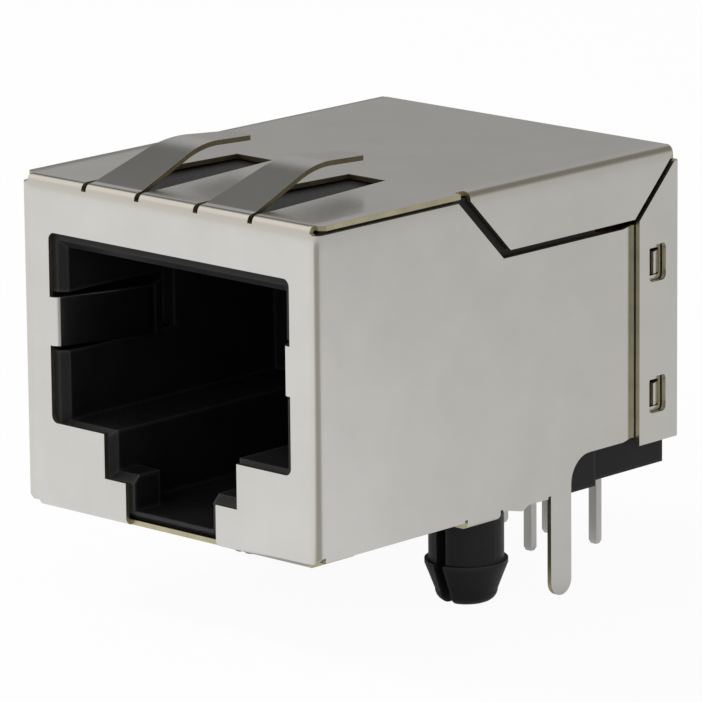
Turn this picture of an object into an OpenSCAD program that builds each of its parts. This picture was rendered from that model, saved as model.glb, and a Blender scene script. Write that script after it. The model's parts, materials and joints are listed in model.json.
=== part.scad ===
// A shielded RJ45 jack for a circuit board, latch side down, with its transformers inside.
// X is the width, Y the depth from the face to the rear panel, Z the height above the board.

/* [Shield] */
// Width over the side panels
shield_w = 16; // [15.8:0.1:18]
// Depth from the face to the rear panel
shield_d = 21; // [20.8:0.1:24]
// Height above the circuit board
shield_h = 13.35; // [13.1:0.05:15]
// Thickness of the folded sheet
sheet = 0.2; // [0.16:0.01:0.22]
// Outer radius of the folds
fold_r = 0.3; // [0.26:0.02:0.4]
// Outer radius of the fold between the top and the rear panel
rear_fold_r = 0.5; // [0.4:0.05:0.8]
// How far the folds stop short of the upper corners
corner_cut = 0.4; // [0.4:0.05:0.6]
// Width of the bevel at the face's lower corners
foot_cut = 0.7; // [0.5:0.05:1]
// Height of the bevel at the face's lower corners
foot_rise = 0.5; // [0.4:0.05:0.8]
// Gap between neighbouring panels
panel_gap = 0.28; // [0.2:0.02:0.36]
// Gap under the side edges of the top panel
seam_gap = 0.15; // [0.1:0.05:0.3]
// Depth of the bottom flange behind the face
flange_d = 2.6; // [1.5:0.1:4]

/* [Flaps and wings] */
// How far the side flaps hang below the top
flap_drop = 2.65; // [2:0.05:3.2]
// Front end of a flap's lower edge, from the face
flap_front = 10.85; // [10:0.05:12]
// Length of the relief in the top panel ahead of a flap
flap_relief = 0.55; // [0.4:0.05:0.8]
// Length of the rear panel's wings along the sides
wing_l = 2.5; // [2.3:0.05:2.8]
// Height of the wings' lower edge above the board
wing_foot = 1.42; // [1:0.02:1.7]
// How far the wings stop short of the top
wing_drop = 0.65; // [0.5:0.05:0.9]
// Distance from the start of a side panel's jog to the wing's edge
jog_lead = 1; // [0.9:0.05:1.3]
// Length of the jog that takes a side panel under its wing
jog_run = 0.75; // [0.5:0.05:0.85]
// Clearance between a side panel and the wing over it
wing_clear = 0.05; // [0.03:0.01:0.08]
// Width of the lock windows in the wings
lock_w = 1; // [0.9:0.05:1.2]
// Height of the lock windows in the wings
lock_h = 1.5; // [1.3:0.02:1.8]
// Height of the lower lock window's middle
lock_low = 3.36; // [2.8:0.02:4]
// Height of the upper lock window's middle
lock_high = 8.74; // [7.5:0.02:9]

/* [Ground fingers and springs] */
// Distance between the middles of the two fingers on the top
finger_span = 6.07; // [5.6:0.02:6.8]
// Width of a finger at the face
finger_root_w = 2.65; // [2.3:0.05:3.1]
// Width of a finger at its tip
finger_tip_w = 1.4; // [1:0.05:1.8]
// How far a finger reaches back from the face
finger_reach = 7.35; // [6.5:0.05:7.7]
// Angle of a finger's ramp behind the face's upper edge
finger_slope = 19.5; // [15:0.5:24]
// Length of a finger's ramp
finger_ramp = 2.8; // [2:0.05:3]
// Radius of the bend over a finger's ramp
finger_bend_r = 5; // [3:0.25:6]
// Angle at which a finger droops towards its tip
finger_droop = 4; // [0:0.5:8]
// Radius of the corners at a finger's tip
finger_tip_r = 0.4; // [0.2:0.05:0.45]
// Width of the slits beside a finger
slit_w = 0.25; // [0.15:0.05:0.35]
// Rear edge of the window under a finger, from the face
finger_window_d = 8.05; // [7.8:0.05:9]
// Height of the two springs beside the plug
spring_w = 1.95; // [1.5:0.05:2.4]
// Height of the springs' middle above the board
spring_z = 7.58; // [7.2:0.02:8]
// Length of a spring's straight arm
spring_arm = 3.9; // [3.2:0.1:4.4]
// Angle of a spring's arm into the port
spring_angle = 19; // [12:1:20]
// Inner radius of a spring's nose
nose_r = 0.3; // [0.2:0.05:0.5]
// Angle that a spring turns through at its nose
nose_turn = 50; // [40:1:60]
// Length of a spring's tail behind its nose
spring_tail = 0.9; // [0.5:0.1:1.2]

/* [Plug port] */
// Width of the plug cavity
cavity_w = 11.8; // [11.7:0.05:12.2]
// Height of the plug cavity above its shelf
cavity_h = 6.95; // [6.8:0.05:7.2]
// Depth of the plug cavity
cavity_d = 11.8; // [11.4:0.1:12]
// How far the housing's mouth stands inside the face's window
lip = 0.6; // [0.4:0.05:0.7]
// Width of the bevel around the mouth
mouth_bevel = 0.3; // [0.2:0.05:0.35]
// Width of the keyway below the cavity
key_w = 6.6; // [6.3:0.05:7]
// Depth of the keyway below the cavity's shelf
key_drop = 1.6; // [1.4:0.05:1.8]
// Width of the slot for the plug's latch
latch_w = 4.3; // [4.1:0.05:4.8]
// How far the face's window stands clear of the keyway and the latch slot
key_reveal = 0.3; // [0.2:0.05:0.4]
// Thickness of the shoulders that hold the plug's latch
shoulder_t = 1.4; // [1:0.1:1.8]
// Length of the latch pocket behind the shoulders
pocket_l = 8.8; // [7.5:0.1:9.2]

/* [Housing] */
// Clearance between the mouldings and the shield
fit = 0.05; // [0.03:0.01:0.08]
// Thickness of the roof over the contact carrier
roof = 0.55; // [0.45:0.05:0.6]
// Thickness of the ceiling between the cavity and the contact carrier
ceiling = 0.7; // [0.6:0.05:0.8]
// Thickness of the floor under the latch pocket
floor_t = 0.4; // [0.3:0.05:0.5]
// Thickness of the wall behind the plug cavity
back_wall = 0.8; // [0.6:0.05:1]
// Thickness of the side walls beside the transformers
chamber_wall = 0.85; // [0.7:0.05:1]
// Thickness of the floor under the transformers
chamber_floor = 1; // [0.8:0.1:1.4]
// Depth of the comb that guides the contacts' free ends
comb_d = 2.4; // [2:0.1:2.8]
// Width of the guide slots for the contacts
guide_w = 0.55; // [0.5:0.02:0.64]

/* [Board pegs] */
// Distance between the two pegs
peg_span = 11.43; // [10.8:0.01:11.43]
// Distance of the pegs from the face
peg_y = 10.7; // [10.2:0.05:11.2]
// Diameter of a peg's shank
peg_d = 3; // [2.6:0.05:3.05]
// Length of a peg below the board's top face
peg_l = 3.7; // [3.4:0.05:4.2]
// Depth of a peg's barbs below the board's top face
barb_z = 1.98; // [1.7:0.02:2.3]
// How far the barbs stand out of the shank
barb = 0.16; // [0.1:0.02:0.25]
// Radius of a peg at the lower end of its taper
peg_tip_r = 1.25; // [1:0.05:1.4]
// Radius of the rounding around a peg's tip
peg_round = 0.5; // [0.2:0.05:0.6]
// Width of the slot that splits a peg
peg_slot = 0.5; // [0.4:0.05:0.9]

/* [Ground pins and tabs] */
// Width of the ground pins
ground_pin_w = 1.2; // [0.9:0.05:1.4]
// Distance of the ground pins' middle from the face
ground_pin_y = 13.77; // [13.4:0.01:14.2]
// Length of the ground pins below the board's top face
ground_pin_l = 3.75; // [3.2:0.05:4.2]
// Height of the side panels' lower edge behind the ground pins
rear_step = 1.75; // [1.5:0.05:2]
// Radius of the blend behind a ground pin
step_r = 1.1; // [0.8:0.05:1.3]
// Distance of the bottom tabs' middle from the face
tab_y = 9.25; // [8.8:0.05:9.3]
// Length of a bottom tab along the side panel
tab_l = 1.9; // [1.4:0.1:2]
// How far a bottom tab reaches under the housing
tab_reach = 0.4; // [0.2:0.05:0.4]
// Width of the relief cuts beside a tab or a ground pin
relief_w = 0.16; // [0.12:0.01:0.28]
// Height of the relief cuts above the side panel's lower edge
relief_h = 0.1; // [0.05:0.05:0.2]
// Distance of the small foot on a side panel's lower edge from the face
foot_y = 11.46; // [11.2:0.02:11.8]

/* [Signal pins] */
// Distance between neighbouring signal pins along the width
pin_pitch = 1.27; // [1.2:0.01:1.3]
// Distance between the two rows of signal pins
row_gap = 2.54; // [2.4:0.01:2.6]
// Distance of the front row from the rear panel
pin_inset = 3.66; // [3.5:0.02:3.9]
// Width of a signal pin
pin_w = 0.42; // [0.36:0.02:0.5]
// Thickness of a signal pin
pin_t = 0.31; // [0.26:0.01:0.4]
// Length of the signal pins below the board's top face
pin_l = 3.5; // [3:0.05:4]
// Height of the posts that the signal pins end in
post_top = 4.6; // [4.4:0.1:5]
// Length of the taper at a signal pin's end
pin_point = 0.15; // [0.1:0.05:0.3]

/* [Spring contacts] */
// Distance between neighbouring contacts
contact_pitch = 1.016; // [1:0.002:1.02]
// Width of a contact
contact_w = 0.36; // [0.3:0.02:0.4]
// Thickness of a contact
contact_t = 0.3; // [0.24:0.02:0.34]
// Inner radius of a contact's bend
contact_bend_r = 0.3; // [0.25:0.05:0.35]
// Angle of a contact's free arm below the horizontal
contact_angle = 20; // [18:0.5:22]
// How far a contact's free end reaches into the comb
comb_grip = 0.75; // [0.5:0.05:1]
// Distance of the contact carrier from the back of the face
carrier_inset = 3; // [2.6:0.1:3.2]
// Height of the contact carrier
carrier_h = 1.3; // [1.1:0.05:1.35]
// Width of the contact carrier
carrier_w = 10; // [9.4:0.1:11]

/* [Transformers] */
// Thickness of the small circuit board
board_t = 0.6; // [0.6:0.1:0.9]
// Diameter of the board's holes for the contacts
board_hole_d = 0.6; // [0.56:0.02:0.7]
// Outer diameter of a transformer core
core_d = 3; // [2.6:0.05:3.1]
// Hole of a transformer core
core_hole_d = 1.5; // [1.4:0.05:1.7]
// Thickness of a transformer core
core_t = 1.8; // [1.4:0.1:2]
// Outer diameter of a choke core
choke_d = 2.6; // [2.4:0.05:2.8]
// Hole of a choke core
choke_hole_d = 1.4; // [1.4:0.05:1.5]
// Thickness of a choke core
choke_t = 1.4; // [1.2:0.1:1.6]
// Thickness of the windings on the cores
wire_d = 0.15; // [0.1:0.01:0.17]
// Distance between neighbouring cores
core_pitch = 3.45; // [3.4:0.05:3.5]
// Height of the cores' middle above the board
core_z = 8.9; // [8:0.1:9.6]
// Length of a termination resistor
resistor_l = 1.6; // [1.4:0.1:1.8]
// Width of a termination resistor
resistor_w = 0.8; // [0.6:0.05:0.9]
// Height of a termination resistor
resistor_h = 0.45; // [0.3:0.05:0.6]
// Length of the termination capacitor
capacitor_l = 4.5; // [3.2:0.1:5]
// Width of the termination capacitor
capacitor_w = 2; // [1.6:0.1:2.4]
// Height of the termination capacitor
capacitor_h = 1.2; // [0.9:0.1:1.3]
// Turns that show on a winding
turns = 16; // [12:1:18]
// Angle that a winding leaves free for its leads
lead_gap = 50; // [40:5:70]

/* [Hidden] */
$fn = 48;
cut = 0.02; // how far a cutting shape runs past the surface that it opens
half_w = shield_w / 2;
fold_line = fold_r - sheet / 2; // a fold's radius at the middle of the sheet
seam_z = shield_h - sheet - seam_gap;
tip_room = 0.05; // how much wider than the finger and its slits the window is at the tip
slit_straight = 1.2; // length of the slits that run straight back from the face
heel_end = fold_r + 0.05; // where a finger starts to turn up into its ramp
finger_heel_r = 0.5; // radius of that turn
slit_drop = 0.03; // how far the slits run down the face below its fold
flap_foot = shield_h - flap_drop;
wing_front = shield_d - wing_l;
flap_rear = wing_front - panel_gap;
mitre_gap = panel_gap * sqrt(2); // a 45-degree gap, measured along Y or Z
notch_foot = flap_foot - panel_gap;
notch_y = flap_front - panel_gap / 2;
flap_start = flap_front - (seam_z - flap_foot);
jog = sheet + wing_clear;
jog_y = wing_front - jog_lead;
side_end = shield_d - 2 * sheet;
side_foot = fold_r; // height of a side panel's lower edge
foot_z = 0.12; // height of the small foot's point above the board
foot_l = 0.8; // length of the slope ahead of the foot's point; the one behind it is shorter
jogged_x = half_w - jog; // outer face of a side panel under its wing
lock_y = wing_front + (wing_l - fold_r) / 2;
lance_gap = 0.1; // slit around a barb's free sides

housing_top = shield_h - sheet - fit;
housing_half_w = half_w - sheet - fit;
carrier_top = housing_top - roof;
carrier_foot = carrier_top - carrier_h;
carrier_mid = carrier_top - carrier_h / 2;
cavity_top = carrier_foot - ceiling;
shelf_z = cavity_top - cavity_h;
key_z = shelf_z - key_drop;
latch_z = sheet + floor_t;
cavity_end = sheet + cavity_d;
chamber_y = cavity_end + back_wall;
pin_y = shield_d - pin_inset;
base_edge = 1.24; // from the terminal base's front to the middle of the first row of pins
base_front = pin_y - base_edge;
base_foot = 0.3;
base_top = 3.4;
base_rear = shield_d - 2 * sheet;
base_clear = 0.15;
base_half_w = jogged_x - sheet - base_clear;
chamber_half_w = housing_half_w - chamber_wall;
chamber_foot = sheet + chamber_floor;

contact_line = contact_bend_r + contact_t / 2; // the bend's radius at the contact's middle
carrier_front = sheet + carrier_inset;
bend_y = carrier_front - 0.2; // where the contacts start to bend
pocket_front = bend_y - contact_line - contact_t;
comb_y = cavity_end - comb_d;
arm_y = bend_y - contact_line * sin(contact_angle);
arm_z = carrier_mid - contact_line * (1 + cos(contact_angle));
arm_l = (comb_y + comb_grip - arm_y) / cos(contact_angle);
free_end_z = arm_z - arm_l * sin(contact_angle);
comb_foot = free_end_z - contact_t;
tail_l = 0.42; // length of the contacts' ends behind the small circuit board
solder_gap = 0.55; // between the small circuit board and the terminal base, for the contacts' ends
board_rear = base_front - solder_gap;
board_front = board_rear - board_t;
board_top = carrier_top - fit;
bare_run = 0.6; // length of the contacts between the carrier and the board
carrier_rear = board_front - bare_run;
contact_tail = board_rear + tail_l;
web_t = 0.8; // wall of the terminal base that carries the cores
web_rear = base_front + web_t;
boss_clear = 0.05; // between a boss and the winding around it
boss_d = core_hole_d - 2 * (wire_d + boss_clear);
choke_boss_d = choke_hole_d - 2 * (wire_d + boss_clear);
boss_end = 0.2; // how far a boss stands out of its winding
film = 0.01; // between a core and its winding

// ---- Working planes: each turns a flat outline into a slab ----

// An outline drawn in (X, Y), from height z0 to z1
module raised(z0, z1) {
    translate([0, 0, z0])
        linear_extrude(z1 - z0)
            children();
}

// An outline drawn in (X, Z), from depth y0 to y1
module deep(y0, y1) {
    translate([0, y1, 0])
        rotate([90, 0, 0])
            linear_extrude(y1 - y0)
                children();
}

// An outline drawn in (Y, Z), from x0 to x1
module across(x0, x1) {
    translate([x0, 0, 0])
        rotate([90, 0, 90])
            linear_extrude(x1 - x0)
                children();
}

// The shape itself and its mirror image on the other side
module both_sides() {
    children();
    mirror([1, 0, 0])
        children();
}

// ---- Outlines ----

// A rectangle from corner p to corner q
module rect(p, q) {
    translate(p)
        square(q - p);
}

// A rectangle from corner p to corner q with round corners
module round_rect(p, q, r) {
    rect(p + [r, 0], q - [r, 0]);
    rect(p + [0, r], q - [0, r]);
    for (x = [p[0] + r, q[0] - r])
        for (y = [p[1] + r, q[1] - r])
            translate([x, y])
                circle(r);
}

// A quarter of a fold's section around its centre c, in the quarter that the signs in way point to
module fold_quarter(c, way, r = fold_r) {
    translate(c)
        intersection() {
            difference() {
                circle(r);
                circle(r - sheet);
            }
            quarter_square(way, r);
        }
}

// The square that covers one quarter of a circle
module quarter_square(way, r) {
    translate([min(0, way[0] * r), min(0, way[1] * r)])
        square(r);
}

// The blend that fills a square inside corner, drawn from the corner at the origin
module inside_blend(r) {
    difference() {
        square(r);
        translate([r, r])
            circle(r);
    }
}

// Stations along a strip that runs and bends: each step is [straight run, turn in degrees, radius].
// A station is [point, heading].
function walk(steps, p, heading, i = 0) =
    i == len(steps) ? [] :
    let (
        turn = steps[i][1],
        way = turn < 0 ? -1 : 1,
        r = steps[i][2],
        q = p + steps[i][0] * [cos(heading), sin(heading)],
        c = q + way * r * [-sin(heading), cos(heading)],
        count = turn == 0 ? 0 : ceil(abs(turn) / min(10, 12 / r)),
        bend = [for (k = [1:1:count])
            let (a = heading + turn * k / count) [c + way * r * [sin(a), -cos(a)], a]],
        last = count == 0 ? q : bend[count - 1][0]
    )
    concat([[p, heading], [q, heading]], bend, walk(steps, last, heading + turn, i + 1));

// The section of a strip of thickness t that follows those steps
module strip(steps, p, heading, t) {
    way = walk(steps, p, heading);
    left = [for (s = way) s[0] + t / 2 * [-sin(s[1]), cos(s[1])]];
    right = [for (i = [len(way) - 1:-1:0]) way[i][0] - t / 2 * [-sin(way[i][1]), cos(way[i][1])]];
    polygon(concat(left, right));
}

// ---- Shield ----

// Section of the middle strip: bottom flange, face, top panel and rear panel
module middle_section() {
    rect([fold_r, 0], [flange_d, sheet]);
    fold_quarter([fold_r, fold_r], [-1, -1]);
    rect([0, fold_r], [sheet, shield_h - fold_r]);
    fold_quarter([fold_r, shield_h - fold_r], [-1, 1]);
    rect([fold_r, shield_h - sheet], [shield_d - rear_fold_r, shield_h]);
    fold_quarter([shield_d - rear_fold_r, shield_h - rear_fold_r], [1, 1], rear_fold_r);
    rect([shield_d - sheet, wing_foot], [shield_d, shield_h - rear_fold_r]);
}

// The face's parts beside the middle strip, with the bevelled lower corners
module face_edges() {
    deep(0, sheet)
        difference() {
            rect([-half_w + fold_r, sheet], [half_w - fold_r, shield_h - fold_r]);
            both_sides()
                foot_bevel();
        }
}

// The corner that is bevelled off the face's lower end
module foot_bevel() {
    polygon([
        [half_w - foot_cut, -cut],
        [half_w + cut, -cut],
        [half_w + cut, foot_rise],
        [half_w, foot_rise]
    ]);
}

// The top panel beside the middle strip, as far back as the flap
module top_edge() {
    raised(shield_h - sheet, shield_h)
        polygon([
            [half_w - corner_cut - sheet, fold_r],
            [half_w - sheet, fold_r],
            [half_w, fold_r + sheet],
            [half_w, flap_start - flap_relief],
            [half_w - corner_cut - sheet, flap_start - flap_relief]
        ]);
}

// A flap that is folded down from the top panel, with 45-degree ends
module flap() {
    intersection() {
        deep(flap_start, shield_d - rear_fold_r) {
            rect([half_w - 2 * corner_cut, shield_h - sheet], [half_w - fold_r, shield_h]);
            fold_quarter([half_w - fold_r, shield_h - fold_r], [1, 1]);
            rect([half_w - sheet, flap_foot], [half_w, shield_h - fold_r]);
        }
        across(half_w - 2 * corner_cut - cut, half_w + cut)
            polygon([
                [flap_front, flap_foot],
                [flap_rear, flap_foot],
                [flap_rear + flap_drop + cut, shield_h + cut],
                [flap_front - flap_drop - cut, shield_h + cut]
            ]);
    }
}

// A wing that is folded forward from the rear panel, with a 45-degree upper end
module wing() {
    mitre_z = flap_foot - mitre_gap + panel_gap;
    difference() {
        intersection() {
            raised(wing_foot, shield_h - wing_drop) {
                rect([half_w - 2 * corner_cut, shield_d - sheet], [half_w - fold_r, shield_d]);
                fold_quarter([half_w - fold_r, shield_d - fold_r], [1, 1]);
                rect([half_w - sheet, wing_front], [half_w, shield_d - fold_r]);
            }
            across(half_w - 2 * corner_cut - cut, half_w + cut)
                polygon([
                    [wing_front, wing_foot - cut],
                    [shield_d + cut, wing_foot - cut],
                    [shield_d + cut, mitre_z + wing_l + cut],
                    [wing_front, mitre_z]
                ]);
        }
        for (z = [lock_low, lock_high])
            across(half_w - sheet - cut, half_w + cut)
                round_rect([lock_y - lock_w / 2, z - lock_h / 2], [lock_y + lock_w / 2, z + lock_h / 2], sheet);
    }
}

// Section of a side panel: its fold from the face, and the jog that takes it under the wing
module side_section() {
    rect([half_w - foot_cut - sheet, 0], [half_w - fold_r, sheet]);
    fold_quarter([half_w - fold_r, fold_r], [1, -1]);
    polygon([
        [half_w - sheet, fold_r],
        [half_w, fold_r],
        [half_w, jog_y],
        [jogged_x, jog_y + jog_run],
        [jogged_x, side_end],
        [jogged_x - sheet, side_end],
        [jogged_x - sheet, jog_y + jog_run],
        [half_w - sheet, jog_y]
    ]);
}

// Outline of a side panel: the notch for the flap, the ground pin and the raised rear edge
module side_outline() {
    pin_front = ground_pin_y - ground_pin_w / 2;
    pin_rear = ground_pin_y + ground_pin_w / 2;
    notch_top = notch_y - (seam_z - notch_foot) - (mitre_gap - panel_gap / 2);
    difference() {
        union() {
            polygon([
                [-cut, side_foot],
                [foot_y - foot_l, side_foot],
                [foot_y, foot_z],
                [foot_y + foot_l / 2, side_foot],
                [side_end, side_foot],
                [side_end, notch_foot],
                [notch_y - mitre_gap + panel_gap / 2, notch_foot],
                [notch_top, seam_z],
                [-cut, seam_z]
            ]);
            rect([pin_front, ground_pin_w / 2 - ground_pin_l], [pin_rear, rear_step]);
            translate([ground_pin_y, ground_pin_w / 2 - ground_pin_l])
                circle(ground_pin_w / 2);
        }
        difference() {
            rect([pin_rear, -cut], [side_end + cut, rear_step]);
            translate([pin_rear, rear_step])
                mirror([0, 1])
                    inside_blend(step_r);
        }
        for (y = [pin_front - relief_w, tab_y - tab_l / 2 - relief_w, tab_y + tab_l / 2])
            rect([y, -cut], [y + relief_w, side_foot + relief_h]);
        rect([tab_y - tab_l / 2, -cut], [tab_y + tab_l / 2, fold_r]);
    }
}

// A side panel with its ground pin and its bottom tab
module side_panel() {
    difference() {
        intersection() {
            raised(-ground_pin_l - cut, seam_z)
                side_section();
            across(half_w - foot_cut - 2 * sheet, half_w + cut)
                side_outline();
        }
        deep(-cut, fold_r)
            foot_bevel();
        for (z = [lock_low, lock_high])
            across(jogged_x - sheet - cut, jogged_x + cut)
                rect(barb_corner(z), barb_corner(z) + [barb_l() + cut, lock_h - 2 * sheet]);
    }
    deep(tab_y - tab_l / 2, tab_y + tab_l / 2) {
        rect([half_w - sheet, fold_r], [half_w, fold_r + sheet]);
        fold_quarter([half_w - fold_r, fold_r], [1, -1]);
        rect([half_w - fold_r - tab_reach, 0], [half_w - fold_r, sheet]);
    }
    for (z = [lock_low, lock_high])
        side_barb(z);
}

// Length of a side panel's barb, and the front lower corner of the barb at height z
function barb_l() = lock_w - 2 * sheet;
function barb_corner(z) = [lock_y - lock_w / 2 + sheet, z - lock_h / 2 + sheet];

// A barb that is lanced out of a side panel into the wing's lock window
module side_barb(z) {
    front = barb_corner(z)[0] + lance_gap;
    rear = barb_corner(z)[0] + barb_l() + 2 * cut;
    half_h = lock_h / 2 - sheet - lance_gap;
    raised(z - half_h, z + half_h)
        polygon([
            [jogged_x, front],
            [jogged_x + sheet, front],
            [jogged_x, rear],
            [jogged_x - sheet, rear]
        ]);
}

// A point of the round corner at a finger's tip
function tip_point(a) = [
    finger_tip_w / 2 - finger_tip_r * (1 - cos(a)),
    finger_reach - finger_tip_r * (1 - sin(a))
];

// Plan of a finger whose sides taper from the root to round corners at the tip
module finger_shape() {
    polygon([
        [-finger_root_w / 2, -cut],
        [finger_root_w / 2, -cut],
        [finger_root_w / 2, heel_end],
        each [for (a = [0:15:90]) tip_point(a)],
        each [for (a = [90:-15:0]) [-tip_point(a)[0], tip_point(a)[1]]],
        [-finger_root_w / 2, heel_end]
    ]);
}

// The window that a finger is cut out of, with the slits that run over the fold
module finger_window() {
    end_w = finger_tip_w + 2 * slit_w + tip_room;
    root_w = finger_root_w + 2 * slit_w;
    raised(shield_h - fold_r - slit_drop, shield_h + cut)
        polygon([
            [-root_w / 2, -cut],
            [root_w / 2, -cut],
            [root_w / 2, slit_straight],
            [end_w / 2, finger_window_d],
            [-end_w / 2, finger_window_d],
            [-root_w / 2, slit_straight]
        ]);
}

// A finger: it is folded with the face's upper edge, climbs its ramp and droops a little to its tip
module finger() {
    root_z = shield_h - 2 * fold_r;
    steps = [
        [fold_r, -90, fold_line],
        [heel_end - fold_r, finger_slope, finger_heel_r],
        [finger_ramp, -finger_slope - finger_droop, finger_bend_r],
        [finger_reach, 0, 0]
    ];
    intersection() {
        across(-finger_root_w / 2, finger_root_w / 2)
            strip(steps, [sheet / 2, root_z], 90, sheet);
        raised(root_z - cut, root_z + finger_reach)
            finger_shape();
    }
}

// A spring: the sheet beside the window is folded back into the port, with a nose for the plug
module port_spring() {
    edge = cavity_w / 2 + lip;
    steps = [
        [sheet + sheet / 2, spring_angle - 90, fold_line],
        [spring_arm, 0, 0],
        [0, -nose_turn, nose_r + sheet / 2],
        [spring_tail, 0, 0]
    ];
    raised(spring_z - spring_w / 2, spring_z + spring_w / 2)
        strip(steps, [edge + sheet, sheet / 2], 180, sheet);
}

// The face's window: the plug, the keyway and the latch slot, which runs out through the lower fold
module port_window() {
    edge = cavity_w / 2 + lip;
    key_edge = key_w / 2 + key_reveal;
    latch_edge = latch_w / 2 + key_reveal;
    sill = shelf_z - key_reveal / 3;
    deep(-cut, fold_r) {
        difference() {
            round_rect([-edge, sill], [edge, cavity_top + lip], fold_r);
            both_sides()
                rect([edge - sheet / 4, spring_z - spring_w / 2], [edge + cut, spring_z + spring_w / 2]);
        }
        rect([-key_edge, key_z - key_reveal], [key_edge, sill + fold_r]);
        rect([-latch_edge, -cut], [latch_edge, key_z]);
    }
}

module shield() {
    color("#c9c8c2") {
        difference() {
            union() {
                across(-half_w + corner_cut, half_w - corner_cut)
                    middle_section();
                face_edges();
                both_sides() {
                    top_edge();
                    flap();
                    wing();
                    side_panel();
                }
            }
            port_window();
            both_sides() {
                translate([finger_span / 2, 0, 0])
                    finger_window();
                deep(-cut, flange_d + cut)
                    rect([half_w - foot_cut, -cut], [half_w - corner_cut + cut, sheet + cut]);
            }
        }
        both_sides() {
            translate([finger_span / 2, 0, 0])
                finger();
            port_spring();
        }
    }
}

// ---- Mouldings ----

// Middles of the eight contacts across the width
function contact_x(i) = (i - 4.5) * contact_pitch;

// A rectangular bore along the depth, widened at its mouth by a bevel
module bevelled_mouth(p, q) {
    y0 = sheet - cut;
    grown = [mouth_bevel, mouth_bevel];
    hull() {
        deep(y0, sheet)
            rect(p - grown, q + grown);
        deep(y0, sheet + mouth_bevel)
            rect(p, q);
    }
}

// The space for the plug, its key and its latch
module plug_space() {
    deep(sheet - cut, cavity_end)
        rect([-cavity_w / 2, shelf_z], [cavity_w / 2, cavity_top]);
    deep(sheet - cut, sheet + shoulder_t + pocket_l)
        rect([-key_w / 2, key_z], [key_w / 2, shelf_z + cut]);
    deep(sheet - cut, sheet + shoulder_t + pocket_l)
        rect([-latch_w / 2, latch_z], [latch_w / 2, key_z + cut]);
    deep(sheet + shoulder_t, sheet + shoulder_t + pocket_l)
        rect([-key_w / 2, latch_z], [key_w / 2, key_z + cut]);
    bevelled_mouth([-cavity_w / 2, shelf_z], [cavity_w / 2, cavity_top]);
    bevelled_mouth([-key_w / 2, key_z], [key_w / 2, shelf_z]);
}

// The recess beside the cavity that a spring is pressed back into
module spring_recess() {
    depth = fold_r + spring_arm + spring_tail + 4 * nose_r;
    height = spring_w + 2 * sheet;
    deep(sheet - cut, depth)
        rect([cavity_w / 2 - cut, spring_z - height / 2], [cavity_w / 2 + lip + sheet / 4, spring_z + height / 2]);
}

// A split peg: shank, barb and tapered tip, cut in two along the depth
module peg() {
    shank_r = peg_d / 2;
    difference() {
        rotate_extrude()
            polygon(concat(
                [[0, sheet + floor_t / 2], [shank_r, sheet + floor_t / 2], [shank_r, -barb_z]],
                [[shank_r + barb, -barb_z], [shank_r + barb, -barb_z - barb]],
                [for (a = [0:15:90])
                    [peg_tip_r - peg_round * (1 - cos(a)), -peg_l + peg_round * (1 - sin(a))]],
                [[0, -peg_l]]
            ));
        across(-peg_slot / 2, peg_slot / 2)
            rect([-peg_d, -peg_l - cut], [peg_d, 0]);
    }
}

// Outer form of the housing, with its front edges bevelled to clear the inside of the folds
module housing_block() {
    intersection() {
        raised(sheet, housing_top)
            polygon([
                [-housing_half_w + fold_r, sheet],
                [housing_half_w - fold_r, sheet],
                [housing_half_w, sheet + fold_r],
                [housing_half_w, base_front],
                [-housing_half_w, base_front],
                [-housing_half_w, sheet + fold_r]
            ]);
        across(-housing_half_w - cut, housing_half_w + cut)
            polygon([
                [sheet, sheet + fold_r],
                [sheet + fold_r, sheet],
                [base_front + cut, sheet],
                [base_front + cut, housing_top + cut],
                [sheet + fold_r, housing_top + cut],
                [sheet + fold_r, housing_top],
                [sheet, housing_top - fold_r]
            ]);
    }
}

module housing() {
    color("#26272a") {
        difference() {
            union() {
                difference() {
                    housing_block();
                    plug_space();
                    both_sides()
                        spring_recess();
                    deep(pocket_front, base_front + cut)
                        rect([-carrier_w / 2, carrier_foot], [carrier_w / 2, carrier_top]);
                    deep(chamber_y, base_front + cut)
                        rect([-chamber_half_w, chamber_foot], [chamber_half_w, carrier_top]);
                }
                deep(comb_y, cavity_end + cut)
                    rect([-carrier_w / 2, comb_foot], [carrier_w / 2, cavity_top + cut]);
            }
            for (i = [1:8])
                translate([contact_x(i), 0, 0])
                    deep(pocket_front, comb_y + comb_grip + guide_w)
                        rect([-guide_w / 2, comb_foot - cut], [guide_w / 2, carrier_foot + cut]);
            tab_recess();
        }
        both_sides()
            translate([peg_span / 2, peg_y, 0])
                peg();
    }
}

// Nothing of the housing reaches the shield's bottom tabs: their folds lie in small corner cuts
module tab_recess() {
    both_sides()
        deep(tab_y - tab_l / 2 - relief_w, tab_y + tab_l / 2 + relief_w)
            polygon([
                [housing_half_w - fold_r, sheet - cut],
                [housing_half_w + cut, sheet - cut],
                [housing_half_w + cut, sheet + fold_r]
            ]);
}

// Section of a contact: solder tail, carrier run, bend at the front and the free arm
module contact_section() {
    steps = [
        [contact_tail - bend_y, 180 - contact_angle, contact_line],
        [arm_l, 0, 0]
    ];
    strip(steps, [contact_tail, carrier_mid], 180, contact_t);
}

module contact(i) {
    color("#d8b25a")
        across(contact_x(i) - contact_w / 2, contact_x(i) + contact_w / 2)
            contact_section();
}

module contact_carrier() {
    color("#333437")
        difference() {
            deep(carrier_front, carrier_rear)
                rect([-carrier_w / 2, carrier_foot], [carrier_w / 2, carrier_top]);
            for (i = [1:8])
                translate([contact_x(i), 0, carrier_mid])
                    deep(carrier_front - cut, carrier_rear + cut)
                        rect([-contact_w / 2, -contact_t / 2], [contact_w / 2, contact_t / 2]);
        }
}

// Middles of the four cores across the width: the chokes stand between the transformers
function core_x(k) = (k - 2.5) * core_pitch;

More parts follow.
